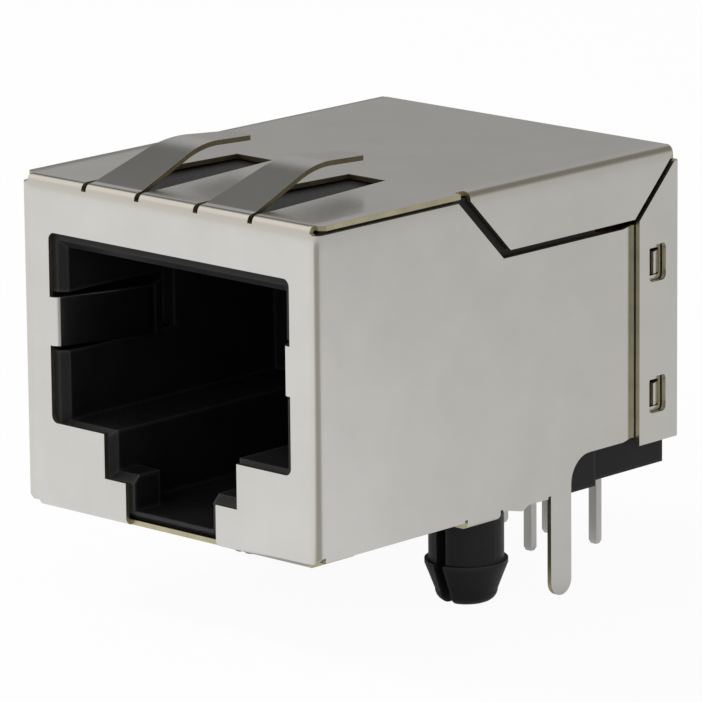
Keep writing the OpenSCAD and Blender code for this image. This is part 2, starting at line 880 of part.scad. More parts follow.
module terminal_base() {
    color("#222326")
        difference() {
            union() {
                deep(base_front, base_rear)
                    rect([-base_half_w, base_foot], [base_half_w, base_top]);
                deep(base_front, web_rear)
                    rect([-chamber_half_w, base_foot], [chamber_half_w, carrier_top - fit]);
                for (k = [1, 4])
                    core_boss(core_x(k), boss_d, core_t);
                for (k = [2, 3])
                    core_boss(core_x(k), choke_boss_d, choke_t);
            }
            for (i = [1:8])
                translate(pin_place(i))
                    raised(base_foot - cut, base_top + cut)
                        square([pin_w, pin_t], center = true);
        }
}

// A boss that carries a core
module core_boss(x, d, t) {
    translate([x, web_rear - cut, core_z])
        rotate([-90, 0, 0])
            cylinder(d = d, h = t + 2 * wire_d + boss_end + cut);
}

// ---- Signal pins ----

// Places of the signal pins: even ones in the front row, odd ones one pitch over in the rear row
function pin_place(i) = [(4.5 - i) * pin_pitch, pin_y + (i % 2 == 0 ? 0 : row_gap), 0];

// Outline of a pin that narrows to two thirds of its size at the lower end
module pin_outline(size) {
    polygon([
        [-size / 2, post_top],
        [-size / 2, pin_point - pin_l],
        [-size / 3, -pin_l],
        [size / 3, -pin_l],
        [size / 2, pin_point - pin_l],
        [size / 2, post_top]
    ]);
}

module signal_pin(i) {
    color("#c4c1b8")
        translate(pin_place(i))
            intersection() {
                deep(-pin_t / 2, pin_t / 2)
                    pin_outline(pin_w);
                across(-pin_w / 2, pin_w / 2)
                    pin_outline(pin_t);
            }
}

// ---- Transformers ----

module circuit_board() {
    color("#2f6b45")
        difference() {
            deep(board_front, board_rear)
                rect([-chamber_half_w, chamber_foot], [chamber_half_w, board_top]);
            for (i = [1:8])
                translate([contact_x(i), board_front - cut, carrier_mid])
                    rotate([-90, 0, 0])
                        cylinder(d = board_hole_d, h = board_t + 2 * cut);
        }
}

// A ring core on its boss
module core(x, d, hole_d, t) {
    translate([x, web_rear + wire_d, core_z])
        rotate([-90, 0, 0])
            difference() {
                cylinder(d = d, h = t);
                translate([0, 0, -cut])
                    cylinder(d = hole_d, h = t + 2 * cut);
            }
}

// The layer around a core's section, out to the distance w from it
module around_core(d, hole_d, t, w) {
    difference() {
        translate([0, 0, -w])
            cylinder(d = d + 2 * w, h = t + 2 * w);
        translate([0, 0, -w - cut])
            cylinder(d = hole_d - 2 * w, h = t + 2 * w + 2 * cut);
        difference() {
            translate([0, 0, -film])
                cylinder(d = d + 2 * film, h = t + 2 * film);
            translate([0, 0, -cut])
                cylinder(d = hole_d - 2 * film, h = t + 2 * cut);
        }
    }
}

// A winding: a thin layer around the core, with the turns standing out of it. It stops short of
// the core's foot, where the leads come off.
module winding(x, d, hole_d, t) {
    step = (360 - lead_gap) / turns;
    translate([x, web_rear + wire_d, core_z])
        rotate([-90, 90, 0])
            difference() {
                union() {
                    around_core(d, hole_d, t, wire_d / 2);
                    intersection() {
                        around_core(d, hole_d, t, wire_d);
                        for (k = [0:turns - 1])
                            rotate([0, 0, lead_gap / 2 + (k + 0.5) * step])
                                translate([0, -wire_d / 2, -t])
                                    cube([d, wire_d, 3 * t]);
                    }
                }
                translate([0, 0, -t])
                    linear_extrude(3 * t)
                        polygon([[0, 0], [d, -d * tan(lead_gap / 2)], [d, d * tan(lead_gap / 2)]]);
            }
}

module transformer_core(i) {
    color("#4a4b4d")
        core(core_x(i == 1 ? 1 : 4), core_d, core_hole_d, core_t);
}

module transformer_winding(i) {
    color("#b4673a")
        winding(core_x(i == 1 ? 1 : 4), core_d, core_hole_d, core_t);
}

module choke_core(i) {
    color("#55565a")
        core(core_x(i + 1), choke_d, choke_hole_d, choke_t);
}

module choke_winding(i) {
    color("#a33c2c")
        winding(core_x(i + 1), choke_d, choke_hole_d, choke_t);
}

// A chip part on the board's front: a body with a metal cap at each end
module chip(x, z, length, width, height) {
    cap_l = length / 5;
    skin = 0.03;
    translate([x, board_front, z]) {
        deep(-height + skin, -skin)
            rect([-length / 2 + skin, -width / 2 + skin], [length / 2 - skin, width / 2 - skin]);
        for (side = [-1, 1])
            translate([side * (length - cap_l) / 2, 0, 0])
                deep(-height, 0)
                    rect([-cap_l / 2, -width / 2], [cap_l / 2, width / 2]);
    }
}

module resistor(i) {
    color("#1d1e20")
        chip((i - 2.5) * 1.5 * resistor_l, chamber_foot + 2.5 * resistor_w, resistor_l, resistor_w, resistor_h);
}

module capacitor() {
    color("#b99a6b")
        chip(0, chamber_foot + 5 * resistor_w + capacitor_w / 2, capacitor_l, capacitor_w, capacitor_h);
}

shield();
housing();
contact_carrier();
for (i = [1:8]) contact(i);
circuit_board();
terminal_base();
for (i = [1:8]) signal_pin(i);
for (i = [1:2]) transformer_core(i);
for (i = [1:2]) transformer_winding(i);
for (i = [1:2]) choke_core(i);
for (i = [1:2]) choke_winding(i);
for (i = [1:4]) resistor(i);
capacitor();
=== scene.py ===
# %% [markdown]
# # A shielded RJ45 board jack
# The real part is one folded sheet of nickel-plated brass around a black moulding, with split
# pegs and pins below it. The CAD frame gives every form, so this lesson is about what makes
# those forms look right: the finishes, the tinted cut edges, the light and the camera.

# %% Load the frame
import math

import bmesh
import bpy
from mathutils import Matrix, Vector
from mathutils.bvhtree import BVHTree
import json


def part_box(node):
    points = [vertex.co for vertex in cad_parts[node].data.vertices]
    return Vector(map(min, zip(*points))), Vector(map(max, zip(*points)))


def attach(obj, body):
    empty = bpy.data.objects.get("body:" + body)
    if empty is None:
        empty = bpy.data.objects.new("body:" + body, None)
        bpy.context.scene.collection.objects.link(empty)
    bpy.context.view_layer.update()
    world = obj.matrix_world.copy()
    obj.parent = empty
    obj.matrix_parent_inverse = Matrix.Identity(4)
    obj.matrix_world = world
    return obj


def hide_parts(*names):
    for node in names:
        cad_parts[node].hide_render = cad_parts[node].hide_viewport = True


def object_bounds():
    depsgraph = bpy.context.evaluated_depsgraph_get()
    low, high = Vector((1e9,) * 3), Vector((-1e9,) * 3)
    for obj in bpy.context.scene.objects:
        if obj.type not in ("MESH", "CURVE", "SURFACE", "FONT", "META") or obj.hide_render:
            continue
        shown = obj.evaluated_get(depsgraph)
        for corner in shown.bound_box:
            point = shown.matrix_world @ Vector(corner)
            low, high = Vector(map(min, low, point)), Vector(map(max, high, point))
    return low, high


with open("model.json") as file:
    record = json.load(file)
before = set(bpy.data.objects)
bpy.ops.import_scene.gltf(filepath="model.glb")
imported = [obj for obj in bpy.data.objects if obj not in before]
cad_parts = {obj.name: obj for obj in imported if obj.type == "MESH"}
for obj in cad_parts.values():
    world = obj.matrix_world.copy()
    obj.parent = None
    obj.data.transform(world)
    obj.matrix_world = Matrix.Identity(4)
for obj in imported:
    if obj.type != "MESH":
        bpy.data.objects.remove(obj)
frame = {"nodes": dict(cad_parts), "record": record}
cad_low, cad_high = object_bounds()
MM = 0.001
SHEET = 0.2 * MM
print("CAD box (mm):", [round(v / MM, 2) for v in cad_high - cad_low])

# %% [markdown]
# ## Building blocks for the finishes
# Several finishes share the same effects, so each effect is a node group with named inputs and
# outputs. A few small helpers make the sockets and keep the wiring short. The groups put out
# only colours, masks, values and normals; the shader itself stays in each material.

# %% Helpers that make a group and its nodes
def new_group(name, inputs, outputs):
    """An empty shader group. inputs is {name: (type, default)}, outputs is {name: type}."""
    group = bpy.data.node_groups.new(name, "ShaderNodeTree")
    for label, (kind, default) in inputs.items():
        socket = group.interface.new_socket(label, in_out="INPUT", socket_type="NodeSocket" + kind)
        socket.default_value = default
    for label, kind in outputs.items():
        group.interface.new_socket(label, in_out="OUTPUT", socket_type="NodeSocket" + kind)
    return group, group.nodes.new("NodeGroupInput"), group.nodes.new("NodeGroupOutput")


def add_node(tree, kind, values=None, **settings):
    """A node with its settings, its input values and its links: a value may be a socket."""
    node = tree.nodes.new("ShaderNode" + kind)
    for key, value in settings.items():
        setattr(node, key, value)
    for key, value in (values or {}).items():
        if isinstance(value, bpy.types.NodeSocket):
            tree.links.new(value, node.inputs[key])
        else:
            node.inputs[key].default_value = value
    return node


def vector_math(tree, operation, first, second=None, scale=None):
    """The result of one vector operation: a number where it measures, or else a vector."""
    values = {0: first}
    if second is not None:
        values[1] = second
    if scale is not None:
        values["Scale"] = scale
    node = add_node(tree, "VectorMath", values, operation=operation)
    measures = operation in ("DOT_PRODUCT", "LENGTH", "DISTANCE")
    return node.outputs["Value" if measures else "Vector"]


def number_math(tree, operation, first, second):
    """The result of one operation on two numbers."""
    return add_node(tree, "Math", {0: first, 1: second}, operation=operation).outputs["Value"]


def map_range(tree, value, low, high, to_low=0.0, to_high=1.0, **settings):
    """value, carried from the range low to high into the range to_low to to_high."""
    node = add_node(tree, "MapRange", {
        "Value": value, "From Min": low, "From Max": high, "To Min": to_low, "To Max": to_high},
        **settings)
    return node.outputs["Result"]


def mix_colours(tree, share, one, other):
    """one where share is 0 and other where it is 1. A colour is a socket or three numbers."""
    one, other = (c if isinstance(c, bpy.types.NodeSocket) else (*c, 1) for c in (one, other))
    mix = add_node(tree, "Mix", {"Factor": share, 6: one, 7: other}, data_type="RGBA")
    return mix.outputs[2]


# %% [markdown]
# ## Grain
# Rolled and plated sheet is never one even tone. Faint cloudy patches come from the plating, and
# a very fine speckle from the matt surface itself. Object coordinates are in metres, so the
# group multiplies them by 1000 and every scale below reads in features per millimetre.

# %% Group: grain
def make_grain_group():
    group, given, result = new_group(
        "grain",
        {"Cloud Scale": ("Float", 0.3), "Speckle Scale": ("Float", 8.0),
         "Stretch": ("Vector", (1, 1, 1))},
        {"Cloud": "Float", "Speckle": "Float"})
    place = add_node(group, "TexCoord").outputs["Object"]
    stretched = vector_math(group, "MULTIPLY", place, given.outputs["Stretch"])
    in_mm = vector_math(group, "SCALE", stretched, scale=1 / MM)
    for label, detail, roughness in (("Cloud", 3.0, 0.55), ("Speckle", 2.0, 0.6)):
        noise = add_node(group, "TexNoise", {
            "Vector": in_mm, "Scale": given.outputs[label + " Scale"],
            "Detail": detail, "Roughness": roughness})
        group.links.new(noise.outputs["Fac"], result.inputs[label])
    return group


grain_group = make_grain_group()
print("made group:", grain_group.name)

# %% [markdown]
# ## Soft edges
# No folded, sheared or moulded edge is perfectly sharp. A Bevel node rounds the shading normal
# near each edge, which catches a thin line of light. Where the rounded normal turns away from
# the true one there is an edge, so their dot product also gives a mask for an edge colour: wear
# and tint on the metal, and on the black moulding a painted highlight along its bevels.

# %% Group: soft edge
EDGE_STARTS, EDGE_FULL = 0.995, 0.8   # dot products between which the edge mask comes up


def make_edge_group():
    group, given, result = new_group(
        "soft_edge", {"Radius": ("Float", 0.03 * MM), "Reach": ("Float", 0.08 * MM)},
        {"Normal": "Vector", "Edge": "Float"})
    rounded = add_node(group, "Bevel", {"Radius": given.outputs["Radius"]}, samples=6)
    wide = add_node(group, "Bevel", {"Radius": given.outputs["Reach"]}, samples=6)
    true_normal = add_node(group, "NewGeometry").outputs["Normal"]
    agree = vector_math(group, "DOT_PRODUCT", wide.outputs["Normal"], true_normal)
    group.links.new(rounded.outputs["Normal"], result.inputs["Normal"])
    group.links.new(map_range(group, agree, EDGE_STARTS, EDGE_FULL), result.inputs["Edge"])
    return group


edge_group = make_edge_group()
print("made group:", edge_group.name)

# %% [markdown]
# ## Folds
# The sheet was plated flat and then folded. The press leaves each fold with a soft shoulder
# that is wider than its corner. This group turns only the shading normal; the mesh keeps the
# tighter corner of the CAD solid. It also gives a mask for painted shade: a warmer, darker
# tone laid along each fold.
# The folds are the upper and upright edges of one box, so the group works from that box: one
# weight per axis says how close a point is to the faces across it. Taking the absolute place
# about the middle of the box makes left and right, or front and rear, one and the same.

# %% Group: fold
SHIELD_TOP = 13.35 * MM   # outer face of the top panel
shield_low, shield_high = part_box("shield")
BOX_MIDDLE = Vector((0, (shield_low.y + shield_high.y) / 2, 0))
BOX_CORNER = Vector((shield_high.x, (shield_high.y - shield_low.y) / 2, SHIELD_TOP))
# How far a fold reaches from a side, from the front or rear, and from the top
SHOULDER = Vector((0.7, 0.45, 1.1)) * MM
RAISED = 0.03 * MM        # what stands this far above the top is a finger, without a shoulder


def make_fold_group():
    group, given, result = new_group(
        "fold", {"Normal": ("Vector", (0, 0, 1)), "Shoulder": ("Vector", SHOULDER)},
        {"Normal": "Vector", "Fold Shade": "Float"})
    place = add_node(group, "TexCoord").outputs["Object"]
    centred = vector_math(group, "SUBTRACT", place, BOX_MIDDLE)
    inside = vector_math(group, "SUBTRACT", vector_math(group, "ABSOLUTE", centred), BOX_CORNER)
    away = vector_math(group, "ABSOLUTE", inside)
    steps = vector_math(group, "DIVIDE", away, given.outputs["Shoulder"])
    near = vector_math(group, "SUBTRACT", (1, 1, 1), steps)
    near = vector_math(group, "MAXIMUM", near, (0, 0, 0))
    weight = vector_math(group, "MULTIPLY", near, near)
    height = add_node(group, "SeparateXYZ", {0: inside}).outputs["Z"]
    weight = vector_math(group, "SCALE", weight,
                         scale=number_math(group, "LESS_THAN", height, RAISED))

    lean = vector_math(group, "MULTIPLY", weight, vector_math(group, "SIGN", centred))
    bent = vector_math(group, "ADD", given.outputs["Normal"], lean)
    group.links.new(vector_math(group, "NORMALIZE", bent), result.inputs["Normal"])

    by_axis = add_node(group, "SeparateXYZ", {0: weight}).outputs
    # Where two weights meet there is a fold: this is the mask for the painted shade along the
    # folds.
    fold_shade_mask = number_math(group, "MULTIPLY", by_axis["X"], by_axis["Y"])
    for one, other in (("Y", "Z"), ("X", "Z")):
        both = number_math(group, "MULTIPLY", by_axis[one], by_axis[other])
        fold_shade_mask = number_math(group, "MAXIMUM", fold_shade_mask, both)
    group.links.new(fold_shade_mask, result.inputs["Fold Shade"])
    return group


fold_group = make_fold_group()
print("made group:", fold_group.name)

# %% [markdown]
# ## A finish from the groups
# Every finish on this part is built alike: a main colour that drifts a little, an edge colour
# that shows through the edge mask, a roughness that follows the speckle, and a low bump. One
# helper wires that up, and each material below gives it its own values.

# %% A helper that makes a finish
def make_finish(name, colour, edge_wear_and_light_colour, *, metallic, roughness, rough_vary=0.05, drift=0.06,
                cloud_scale=0.3, speckle_scale=8.0, stretch=(1, 1, 1), edge_radius=0.03,
                edge_reach=0.08, edge_share=0.5, bump=0.02, bump_depth=0.004, coat=0.0,
                specular=0.5, speckle_drift=0.0, painted_fold_tone=None):
    """A Principled material. Lengths are in millimetres."""
    material = bpy.data.materials.new(name)
    material.use_nodes = True
    tree = material.node_tree
    shader = tree.nodes["Principled BSDF"]
    grain = add_node(tree, "Group", node_tree=grain_group)
    grain.inputs["Cloud Scale"].default_value = cloud_scale
    grain.inputs["Speckle Scale"].default_value = speckle_scale
    grain.inputs["Stretch"].default_value = stretch
    edge = add_node(tree, "Group", node_tree=edge_group)
    edge.inputs["Radius"].default_value = edge_radius * MM
    edge.inputs["Reach"].default_value = edge_reach * MM

    dark = [c * (1 - drift) for c in colour]
    light = [min(1.0, c * (1 + drift)) for c in colour]
    clouded = map_range(tree, grain.outputs["Cloud"], 0.3, 0.7)
    speckled = map_range(tree, grain.outputs["Speckle"], 0.3, 0.7, -speckle_drift, speckle_drift)
    base = mix_colours(tree, number_math(tree, "ADD", clouded, speckled), dark, light)
    normal = edge.outputs["Normal"]
    # Along the folds the colour turns warmer and darker: painted shade.
    if painted_fold_tone:
        fold = add_node(tree, "Group", node_tree=fold_group)
        tree.links.new(normal, fold.inputs["Normal"])
        normal = fold.outputs["Normal"]
        base = mix_colours(tree, fold.outputs["Fold Shade"], base, painted_fold_tone)
    edge_part = number_math(tree, "MULTIPLY", edge.outputs["Edge"], edge_share)
    tree.links.new(mix_colours(tree, edge_part, base, edge_wear_and_light_colour), shader.inputs["Base Color"])

    rough = map_range(tree, grain.outputs["Speckle"], 0.25, 0.75,
                      roughness - rough_vary, roughness + rough_vary)
    tree.links.new(rough, shader.inputs["Roughness"])

    relief = add_node(tree, "Bump", {
        "Height": grain.outputs["Speckle"], "Normal": normal,
        "Strength": bump, "Distance": bump_depth * MM})
    tree.links.new(relief.outputs["Normal"], shader.inputs["Normal"])
    shader.inputs["Metallic"].default_value = metallic
    shader.inputs["Specular IOR Level"].default_value = specular
    if coat:
        shader.inputs["Coat Weight"].default_value = coat
        shader.inputs["Coat Roughness"].default_value = 0.2
    return material


# %% [markdown]
# ## The finishes of this jack
# The sheet is brass with a matt nickel plate: slightly warm, soft and even. Where it was sheared
# after plating, the cut shows the brass. The mouldings are black nylon with a fine texture.

# %% Sheet metal
# Along the folds the nickel turns warmer and darker: painted shade on the bends of the box.
nickel = make_finish("matt_nickel", (0.64, 0.633, 0.615), (0.72, 0.70, 0.66), metallic=1.0,
                     roughness=0.2, rough_vary=0.02, drift=0.035, cloud_scale=0.35,
                     speckle_scale=14.0, edge_radius=0.02, edge_reach=0.05, edge_share=0.25,
                     bump=0.08, bump_depth=0.004, speckle_drift=0.05,
                     painted_fold_tone=(0.59, 0.56, 0.495))
# The tongues' nickel is glossier than the outer plate, and its darker tone is painted shade inside
# the opening.
bright_nickel = make_finish("bright_nickel", (0.55, 0.545, 0.53), (0.66, 0.64, 0.58), metallic=1.0,
                            roughness=0.07, rough_vary=0.02, drift=0.05, cloud_scale=0.8,
                            speckle_scale=14.0, stretch=(1, 3, 0.3), edge_radius=0.02,
                            edge_reach=0.05, edge_share=0.25, bump=0.08)
cut_brass = make_finish("cut_brass", (0.48, 0.44, 0.30), (0.6, 0.56, 0.44), metallic=1.0,
                        roughness=0.38, drift=0.12, cloud_scale=1.2, speckle_scale=12.0,
                        edge_radius=0.02, edge_reach=0.05, edge_share=0.6, bump=0.3)
# Painted shade: the cuts of the slits and windows by the fingers lie in shade, so this brass is
# darkened.
shaded_cut_brass = make_finish("shaded_cut_brass", (0.17, 0.145, 0.09), (0.36, 0.32, 0.22), metallic=1.0,
                         roughness=0.45, drift=0.15, cloud_scale=1.2, speckle_scale=12.0,
                         edge_radius=0.02, edge_reach=0.03, edge_share=0.5, bump=0.3)
print("made:", nickel.name, bright_nickel.name, cut_brass.name, "and", shaded_cut_brass.name)

# %% Mouldings
# The nylon's edge colour is far lighter than its body: a painted highlight along its bevels, such
# as the lip of the opening.
black_nylon = make_finish("black_nylon", (0.010, 0.010, 0.011), (0.042, 0.042, 0.045), metallic=0.0,
                          roughness=0.42, specular=0.2, rough_vary=0.08, drift=0.2, cloud_scale=0.5,
                          speckle_scale=9.0, edge_radius=0.05, edge_reach=0.3, edge_share=0.7,
                          bump=0.35, bump_depth=0.008)
black_carrier = make_finish("black_carrier", (0.024, 0.024, 0.026), (0.05, 0.05, 0.055),
                            metallic=0.0, roughness=0.42, drift=0.2, edge_radius=0.04, bump=0.3)
print("made:", black_nylon.name, "and", black_carrier.name)

# %% Pins and contacts
tin = make_finish("dull_tin", (0.58, 0.575, 0.56), (0.7, 0.7, 0.68), metallic=1.0, roughness=0.38,
                  drift=0.12, cloud_scale=1.5, speckle_scale=14.0, stretch=(1, 1, 0.15),
                  edge_radius=0.03, edge_reach=0.05, bump=0.3)
gold = make_finish("contact_gold", (0.83, 0.58, 0.24), (0.95, 0.75, 0.4), metallic=1.0,
                   roughness=0.22, drift=0.06, cloud_scale=1.0, speckle_scale=16.0,
                   stretch=(1, 0.2, 1), edge_radius=0.04, edge_reach=0.06, bump=0.15)
print("made:", tin.name, "and", gold.name)

# %% What is inside
solder_mask = make_finish("solder_mask", (0.03, 0.16, 0.06), (0.05, 0.22, 0.09), metallic=0.0,
                          roughness=0.3, drift=0.1, coat=0.4, bump=0.1)
ferrite = make_finish("ferrite", (0.06, 0.06, 0.065), (0.12, 0.12, 0.12), metallic=0.0,
                      roughness=0.55, drift=0.2, edge_radius=0.06, bump=0.6, bump_depth=0.01)
copper_wire = make_finish("enamelled_copper", (0.22, 0.085, 0.03), (0.45, 0.2, 0.09), metallic=0.6,
                          roughness=0.25, drift=0.15, coat=0.6, bump=0.1)
red_wire = make_finish("red_enamel", (0.14, 0.02, 0.012), (0.22, 0.05, 0.03), metallic=0.2,
                       roughness=0.25, drift=0.15, coat=0.6, bump=0.1)
resistor_glaze = make_finish("resistor_glaze", (0.015, 0.015, 0.016), (0.05, 0.05, 0.05),
                             metallic=0.0, roughness=0.35, drift=0.2, bump=0.2)
ceramic = make_finish("tan_ceramic", (0.5, 0.36, 0.2), (0.6, 0.46, 0.28), metallic=0.0,
                      roughness=0.5, drift=0.08, bump=0.3)
print("finishes:", len(bpy.data.materials))

# %% Give each CAD node its finish
FINISH_OF_SLOT = {
    "shield_nickel": nickel, "black_plastic": black_nylon, "carrier_plastic": black_carrier,
    "contact_gold": gold, "tin_pin": tin, "board": solder_mask, "ferrite": ferrite,
    "transformer_wire": copper_wire, "choke_wire": red_wire, "chip_resistor": resistor_glaze,
    "chip_capacitor": ceramic,
}
slot_of_node = {part["node"]: part["material_slot"] for part in frame["record"]["subparts"]}
for name, node in frame["nodes"].items():
    node.data.materials.clear()
    node.data.materials.append(FINISH_OF_SLOT[slot_of_node[name]])
print("dressed", len(frame["nodes"]), "nodes")

# %% [markdown]
# ## The shield's cut edges
# The shield needs two finishes on one sheet: nickel on its broad faces, and brass where it was
# sheared. A CAD node keeps one mesh, so a copy stands for it. A ray sent inwards from each
# triangle tells them apart: through a broad face it leaves the sheet after one thickness, and
# from a cut edge it runs on through the metal. The narrow cuts by the fingers lie in shade, so
# their brass is darkened with painted shade. Plugs polish the tongues inside the opening, and
# their nickel is a little darker there, painted shade; both get a finish of their own.
# Triangles of one CAD face share their corners, so each such patch votes as one. The patches
# also say where the sheet is creased: inside a patch the shading runs smoothly, and between two
# patches it breaks if they meet at an angle.

# %% Sort the shield's faces
CREASE_ANGLE = math.radians(12)   # a fold's facets turn 10 degrees at most, a panel's jog 18
NICKEL, CUT, TONGUE, FINGER_CUT = 0, 1, 2, 3     # the order of the finishes on the shield
RAY_START = 0.001 * MM            # a ray starts this far below the face, so it can't meet it
ONE_SHEET = 1.3 * SHEET           # a ray that leaves the metal sooner went through one sheet
SAME_CORNER = 0.00001 * MM        # corners closer than this are joined
# Boxes around the cuts of the fingers and around the tongues: lowest and highest corner
FINGER_BOX = (Vector((-6.5, 0.5, 12.9)) * MM, Vector((6.5, 9, 20)) * MM)
tongue_x = cad_high.x - 1.5 * SHEET
TONGUE_BOX = (Vector((-tongue_x, 0.3 * MM, 4 * MM)), Vector((tongue_x, 10 * MM, 11 * MM)))


def loose_patches(mesh):
    """Lists of faces that share corners: in this mesh each is one face of the CAD solid."""
    mesh.faces.ensure_lookup_table()
    seen, patches = set(), []
    for start in mesh.faces:
        if start.index in seen:
            continue
        seen.add(start.index)
        patch, todo = [], [start]
        while todo:
            face = todo.pop()
            patch.append(face)
            for corner in face.verts:
                for other in corner.link_faces:
                    if other.index not in seen:
                        seen.add(other.index)
                        todo.append(other)
        patches.append(patch)
    return patches


def is_cut(patch, tree):
    """Does most of this patch's area lie on a sheared edge?"""
    broad = cut = 0.0
    for face in patch:
        middle = face.calc_center_median()
        inward = middle - face.normal * RAY_START
        far = tree.ray_cast(inward, -face.normal)[3]
        if far is not None and far < ONE_SHEET:
            broad += face.calc_area()
        else:
            cut += face.calc_area()
    return cut > broad


def mark_creases(mesh, patch_of):
    """Sharpen the edges between two patches that meet at more than CREASE_ANGLE."""
    count = 0
    for edge in mesh.edges:
        if len(edge.link_faces) != 2:
            continue
        one, other = edge.link_faces
        if one[patch_of] != other[patch_of] and edge.calc_face_angle() > CREASE_ANGLE:
            edge.smooth = False
            count += 1
    return count


def lies_in(patch, box):
    """Is the middle of this patch inside the box?"""
    middle = sum((face.calc_center_median() for face in patch), Vector()) / len(patch)
    return all(low < at < high for low, at, high in zip(box[0], middle, box[1]))


def make_shield():
    """A copy of the shield's mesh with its own finish on sheared edges and on the tongues."""
    mesh = bmesh.new()
    mesh.from_mesh(frame["nodes"]["shield"].data)
    patch_of = mesh.faces.layers.int.new("patch")   # a new layer comes before any face is kept
    tree = BVHTree.FromBMesh(mesh)
    patches = loose_patches(mesh)
    cut_patches = [patch for patch in patches if is_cut(patch, tree)]
    for number, patch in enumerate(patches):
        tongue = lies_in(patch, TONGUE_BOX)
        for face in patch:
            face[patch_of] = number
            face.smooth = True
            face.material_index = TONGUE if tongue else NICKEL
    for patch in cut_patches:
        finish = FINGER_CUT if lies_in(patch, FINGER_BOX) else CUT
        for face in patch:
            face.material_index = finish
    bmesh.ops.remove_doubles(mesh, verts=mesh.verts, dist=SAME_CORNER)
    creases = mark_creases(mesh, patch_of)
    print("shield patches:", len(patches), "of which cut edges:", len(cut_patches),
          "creases:", creases)
    data = bpy.data.meshes.new("folded_shield")
    mesh.to_mesh(data)
    mesh.free()
    for finish in (nickel, cut_brass, bright_nickel, shaded_cut_brass):
        data.materials.append(finish)
    piece = bpy.data.objects.new("folded_shield", data)
    bpy.context.scene.collection.objects.link(piece)
    return piece


folded_shield = make_shield()
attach(folded_shield, "root")
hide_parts("shield")

# %% [markdown]
# ## Floor and surroundings
# The jack stands on a plain white sweep. Seen directly, the floor is almost fully white and keeps
# only a breath of shadow. What the metal mirrors matters more. The upright panels lean on the
# floor for their tone and the top on the far wall, so both are toned here as a studio does it,
# with cards: pale ones ahead on the left, a dark one ahead on the right, darker ones behind the
# jack, and a bright one high up on the left.

# %% Group: card
def make_card_group():
    """A soft round mask around a direction: 1 inside Inner, 0 outside Outer, both cosines."""
    group, given, result = new_group(
        "card", {"Vector": ("Vector", (0, 0, 1)), "Aim": ("Vector", (0, 0, 1)),
                 "Inner": ("Float", 0.98), "Outer": ("Float", 0.8)},
        {"Mask": "Float"})
    towards = vector_math(group, "DOT_PRODUCT", given.outputs["Vector"], given.outputs["Aim"])
    mask = map_range(group, towards, given.outputs["Outer"], given.outputs["Inner"],
                     interpolation_type="SMOOTHSTEP")
    group.links.new(mask, result.inputs["Mask"])
    return group


card_group = make_card_group()


def hang_cards(tree, vector, near, far, share, cards):
    """The tone seen along vector: near or far by share, then one card after another over it."""
    tone = mix_colours(tree, share, near, far)
    for aim, inner, outer, colour in cards:
        card = add_node(tree, "Group", node_tree=card_group)
        tree.links.new(vector, card.inputs["Vector"])
        card.inputs["Aim"].default_value = Vector(aim).normalized()
        card.inputs["Inner"].default_value = math.cos(math.radians(inner))
        card.inputs["Outer"].default_value = math.cos(math.radians(outer))
        tone = mix_colours(tree, card.outputs["Mask"], tone, colour)
    return tone


print("made group:", card_group.name)

# %% Floor
FLOOR_Z = cad_low.z - 0.01 * MM
FLOOR_RADIUS = 2.0       # in metres
FLOOR_WHITE = 0.95       # share of pure white that a camera sees in the floor
FLOOR_NEAR, FLOOR_FAR = (0.83, 0.825, 0.81), (0.63, 0.62, 0.605)   # what the metal sees behind
FLOOR_TURNS = (48 * MM, 82 * MM)   # distances at which near starts to turn into far, and ends
UNDERSIDE_LIGHT = 0.5    # how much light is left on the floor beneath the jack
UNDERSIDE = (4 * MM, 12 * MM)      # distances at which that shade starts to fade, and ends
FLOOR_CARDS = [          # aim, inner and outer angle in degrees, colour
    ((-0.69, -0.73, 0), 30, 110, (0.945, 0.94, 0.925)),
    ((0.35, 0.94, 0), 5, 36, (0.67, 0.66, 0.64)),
    ((0.72, -0.69, 0), 5, 48, (0.42, 0.41, 0.39)),
]


def make_floor():
    data = bpy.data.meshes.new("floor")
    mesh = bmesh.new()
    bmesh.ops.create_circle(mesh, cap_ends=True, segments=96, radius=FLOOR_RADIUS)
    mesh.to_mesh(data)
    mesh.free()
    floor = bpy.data.objects.new("floor", data)
    floor.location.z = FLOOR_Z
    bpy.context.scene.collection.objects.link(floor)
    material = bpy.data.materials.new("white_sweep")
    material.use_nodes = True
    tree = material.node_tree
    tree.nodes.clear()
    ray = add_node(tree, "LightPath")
    matt = add_node(tree, "BsdfDiffuse", {"Color": (0.8, 0.8, 0.8, 1)})
    white = add_node(tree, "Emission", {"Color": (1, 1, 1, 1), "Strength": 1.0})
    share = number_math(tree, "MULTIPLY", ray.outputs["Is Camera Ray"], FLOOR_WHITE)
    seen = add_node(tree, "MixShader", {
        0: share, 1: matt.outputs["BSDF"], 2: white.outputs["Emission"]})
    place = add_node(tree, "TexCoord").outputs["Object"]
    outward = vector_math(tree, "NORMALIZE", place)
    reach = vector_math(tree, "LENGTH", place)
    tone = hang_cards(tree, outward, FLOOR_NEAR, FLOOR_FAR, map_range(tree, reach, *FLOOR_TURNS),
                      FLOOR_CARDS)
    under = ((cad_low.x + cad_high.x) / 2, (cad_low.y + cad_high.y) / 2, 0)
    lit = map_range(tree, vector_math(tree, "DISTANCE", place, under), *UNDERSIDE,
                    UNDERSIDE_LIGHT, 1.0, interpolation_type="SMOOTHSTEP")
    cards = add_node(tree, "Emission", {"Color": tone, "Strength": lit})
    mirrored = add_node(tree, "MixShader", {
        0: ray.outputs["Is Glossy Ray"], 1: seen.outputs["Shader"], 2: cards.outputs["Emission"]})
    out = add_node(tree, "OutputMaterial")
    tree.links.new(mirrored.outputs["Shader"], out.inputs["Surface"])
    data.materials.append(material)
    return floor


make_floor()

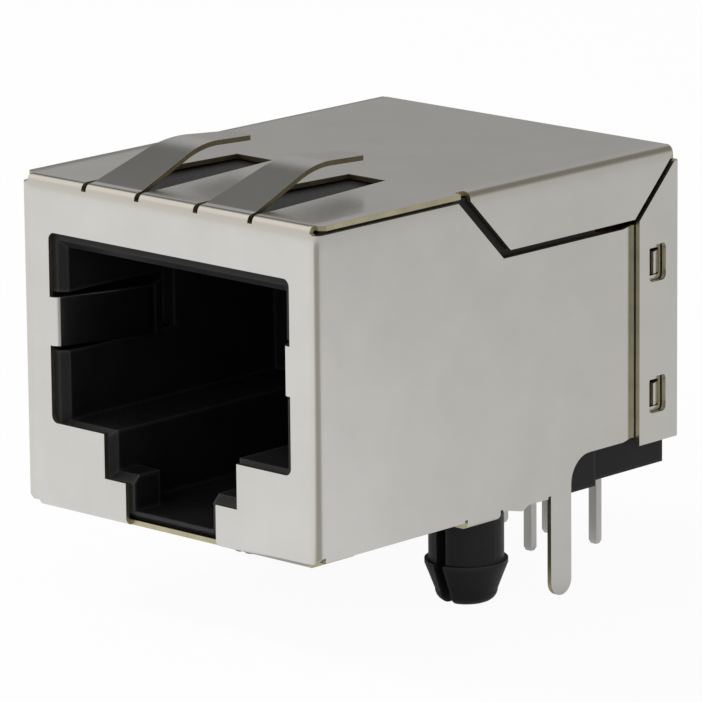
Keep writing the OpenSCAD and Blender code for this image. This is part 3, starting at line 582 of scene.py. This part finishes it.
# %% World
WALL = (0.62, 0.62, 0.61)
WALL_CARDS = [           # aim, inner and outer angle in degrees, colour
    ((-0.5, -0.75, 0.2), 30, 100, (0.84, 0.82, 0.79)),
    ((-0.67, 0.71, 0.1), 10, 50, (0.44, 0.44, 0.435)),
    ((-0.67, 0.40, 0.62), 4, 17, (0.16, 0.16, 0.155)),
    ((-0.67, 0.73, 0.04), 4, 12, (0.34, 0.33, 0.31)),
    ((0.23, 0.71, 0.67), 8, 36, (0.26, 0.25, 0.22)),
    ((-0.67, -0.25, 0.70), 8, 28, (1.04, 1.0, 0.95)),
]


def make_world():
    world = bpy.data.worlds.new("studio")
    world.use_nodes = True
    tree = world.node_tree
    tree.nodes.clear()
    ray = add_node(tree, "LightPath")
    direction = add_node(tree, "TexCoord").outputs["Generated"]
    tone = hang_cards(tree, direction, WALL, WALL, 0.0, WALL_CARDS)
    around = add_node(tree, "Background", {"Color": tone, "Strength": 1.0})
    white = add_node(tree, "Background", {"Color": (1, 1, 1, 1), "Strength": 1.0})
    seen = add_node(tree, "MixShader", {
        0: ray.outputs["Is Camera Ray"], 1: around.outputs["Background"],
        2: white.outputs["Background"]})
    out = add_node(tree, "OutputWorld")
    tree.links.new(seen.outputs["Shader"], out.inputs["Surface"])
    bpy.context.scene.world = world


make_world()

# %% Lamps
def add_softbox(name, place, aim, size, power):
    """A square area lamp at place, in metres, turned towards aim."""
    lamp = bpy.data.lights.new(name, "AREA")
    lamp.size = size
    lamp.energy = power
    lamp_object = bpy.data.objects.new(name, lamp)
    lamp_object.location = place
    lamp_object.rotation_euler = (Vector(aim) - Vector(place)).to_track_quat("-Z", "Y").to_euler()
    lamp_object.visible_glossy = False   # the metal mirrors the cards, not the lamps
    bpy.context.scene.collection.objects.link(lamp_object)
    return lamp_object


middle = (cad_low + cad_high) / 2
add_softbox("upper_left", middle + Vector((-0.16, -0.06, 0.17)), middle, 0.07, 0.25)
add_softbox("front_fill", middle + Vector((0.02, -0.25, 0.14)), middle, 0.12, 0.12)

# %% [markdown]
# ## Camera
# The camera stands about eleven times the jack's depth away and has a long lens, so the jack's
# edges run nearly parallel.

# %% Camera
SENSOR = 36.0            # width of the camera's sensor in millimetres


def add_camera(azimuth, elevation, roll, shift, distance, lens):
    """A camera round the frame's origin. Angles are in degrees, lens is in millimetres, and
    distance and shift, to the side and up, are in metres."""
    a, e, r = (math.radians(v) for v in (azimuth, elevation, roll))
    back = Vector((math.sin(a) * math.cos(e), -math.cos(a) * math.cos(e), math.sin(e)))
    right = Vector((0, 0, 1)).cross(back).normalized()
    up = back.cross(right)
    side = right * math.cos(r) + up * math.sin(r)
    top = up * math.cos(r) - right * math.sin(r)
    data = bpy.data.cameras.new("camera")
    data.sensor_width = SENSOR
    data.lens = lens
    data.clip_start = 0.01
    data.clip_end = 10.0
    camera = bpy.data.objects.new("camera", data)
    matrix = camera.matrix_world.to_3x3()
    for i in range(3):
        matrix[i][0], matrix[i][1], matrix[i][2] = side[i], top[i], back[i]
    camera.matrix_world = matrix.to_4x4()
    camera.location = back * distance - side * shift[0] - top * shift[1]
    bpy.context.scene.collection.objects.link(camera)
    bpy.context.scene.camera = camera
    return camera


add_camera(azimuth=43.377, elevation=13.32, roll=-0.568, shift=(-6.972 * MM, -7.187 * MM),
           distance=240.066 * MM, lens=317.95)

# %% View settings
bpy.context.scene.view_settings.view_transform = "Standard"

# %% Sizes
import json
